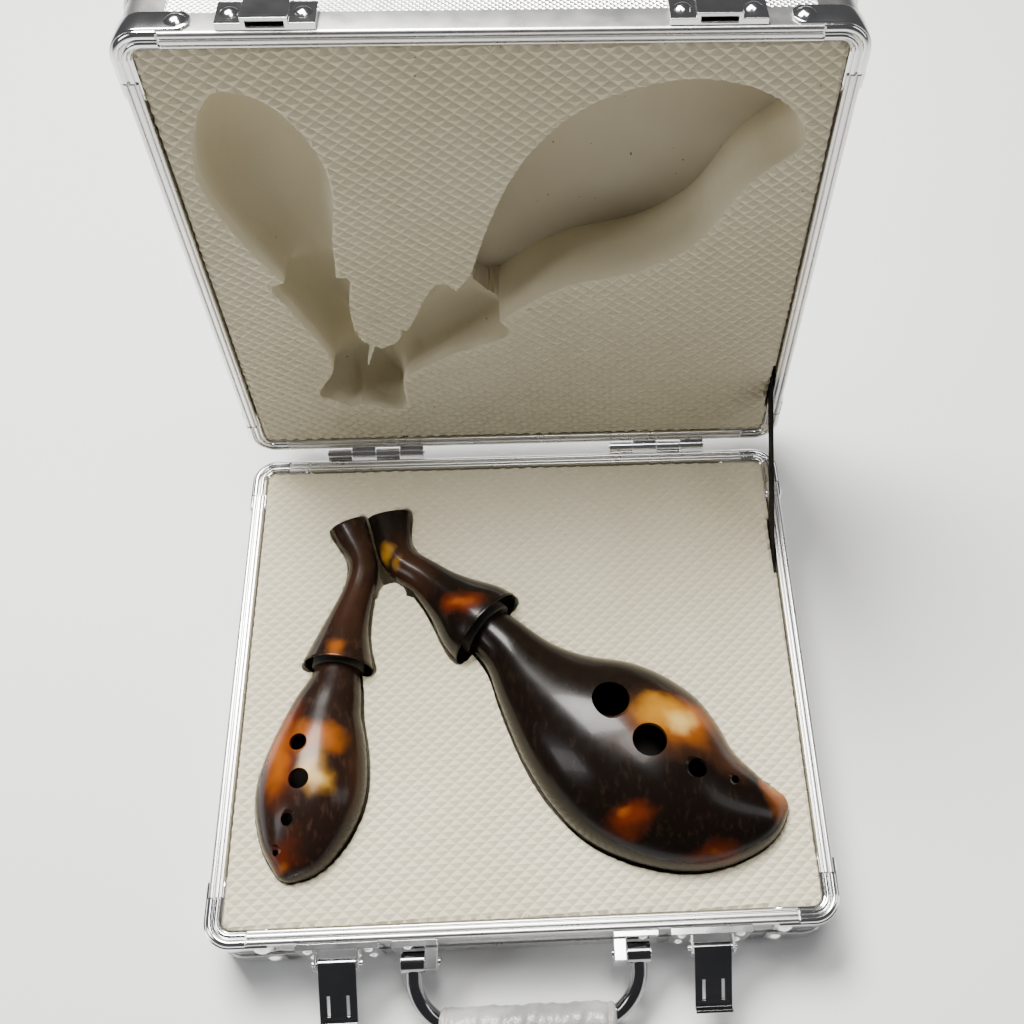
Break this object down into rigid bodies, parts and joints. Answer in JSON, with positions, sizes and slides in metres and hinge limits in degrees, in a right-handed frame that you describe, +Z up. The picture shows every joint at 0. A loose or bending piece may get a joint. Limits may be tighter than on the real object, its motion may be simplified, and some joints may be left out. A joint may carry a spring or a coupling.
{
  "type": "flute pair in carrying case",
  "caption": "Hinged aluminium-framed hard case with foam nests, its lid open, holding a pair of glossy pipe-shaped vessel flutes with finger holes.",
  "frame": {"origin": "centre of the flat underside of the case's base", "axes": "+X to the right seen from the handle side, +Y towards the hinges, +Z up; the handle and latches are at -Y"},
  "size_m": [0.2672, 0.3396, 0.2746],
  "materials": {
    "embossed_panel": "embossed satin",
    "extrusion": "satin anodised",
    "chrome": "polished nickel-chrome plate",
    "foam": "pyramid-embossed soft foam",
    "liner": "smooth matt",
    "grip": "grained",
    "webbing": "woven tape",
    "big_horn": "polished horn look, amber patches",
    "small_horn": "polished horn look, amber patches",
    "lapping": "matt black"
  },
  "bodies": {
    "base": {"base_back_wall": "embossed_panel", "base_corner_caps": "chrome", "base_corner_posts": "extrusion", "base_edge_extrusions": "extrusion", "base_floor": "embossed_panel", "base_foam": "foam", "base_front_wall": "embossed_panel", "base_left_wall": "embossed_panel", "base_rail_back": "extrusion", "base_rail_front": "extrusion", "base_rail_left": "extrusion", "base_rail_right": "extrusion", "base_right_wall": "embossed_panel", "base_rim_corners": "chrome", "base_rivets": "chrome", "handle_bracket_left": "chrome", "handle_bracket_right": "chrome", "handle_pins": "chrome", "hinge_left_base_leaf": "chrome", "hinge_left_pin": "chrome", "hinge_right_base_leaf": "chrome", "hinge_right_pin": "chrome", "latch_left_pin": "chrome", "latch_left_plate": "chrome", "latch_right_pin": "chrome", "latch_right_plate": "chrome", "stay_strap": "webbing", "strap_rivet_base": "chrome"},
    "lid": {"hinge_left_lid_leaf": "chrome", "hinge_right_lid_leaf": "chrome", "keeper_left": "chrome", "keeper_right": "chrome", "lid_back_wall": "embossed_panel", "lid_corner_caps": "chrome", "lid_corner_posts": "extrusion", "lid_edge_extrusions": "extrusion", "lid_foam": "foam", "lid_front_wall": "embossed_panel", "lid_left_wall": "embossed_panel", "lid_liner": "liner", "lid_rail_back": "extrusion", "lid_rail_front": "extrusion", "lid_rail_left": "extrusion", "lid_rail_right": "extrusion", "lid_right_wall": "embossed_panel", "lid_rim_corners": "chrome", "lid_rivets": "chrome", "lid_top": "embossed_panel", "strap_rivet_lid": "chrome"},
    "latch_left": {"latch_left_lever": "chrome"},
    "latch_right": {"latch_right_lever": "chrome"},
    "handle": {"handle_bail": "chrome", "handle_grip": "grip"},
    "big_flute": {"big_flute_body": "big_horn", "big_flute_mouthpiece": "big_horn", "big_flute_ring": "lapping"},
    "small_flute": {"small_flute_body": "small_horn", "small_flute_mouthpiece": "small_horn", "small_flute_ring": "lapping"}
  },
  "joints": [
    {"name": "lid_hinge", "type": "hinge", "parent": "base", "child": "lid", "pos_m": [0, 0.1183, 0.038], "axis": [-1, 0, 0], "range_deg": [-95.7, 0], "deforming": ["stay_strap"]},
    {"name": "latch_left_hinge", "type": "hinge", "parent": "base", "child": "latch_left", "pos_m": [-0.077, -0.1223, 0.032], "axis": [1, 0, 0], "range_deg": [-125, 0]},
    {"name": "latch_right_hinge", "type": "hinge", "parent": "base", "child": "latch_right", "pos_m": [0.077, -0.1223, 0.032], "axis": [1, 0, 0], "range_deg": [-125, 0]},
    {"name": "handle_hinge", "type": "hinge", "parent": "base", "child": "handle", "pos_m": [0, -0.1223, 0.026], "axis": [1, 0, 0], "range_deg": [-112, 45]},
    {"name": "big_flute_lift", "type": "slide", "parent": "base", "child": "big_flute", "axis": [0, 0, 1], "range_m": [0, 0.09]},
    {"name": "small_flute_lift", "type": "slide", "parent": "base", "child": "small_flute", "axis": [0, 0, 1], "range_m": [0, 0.09]}
  ]
}
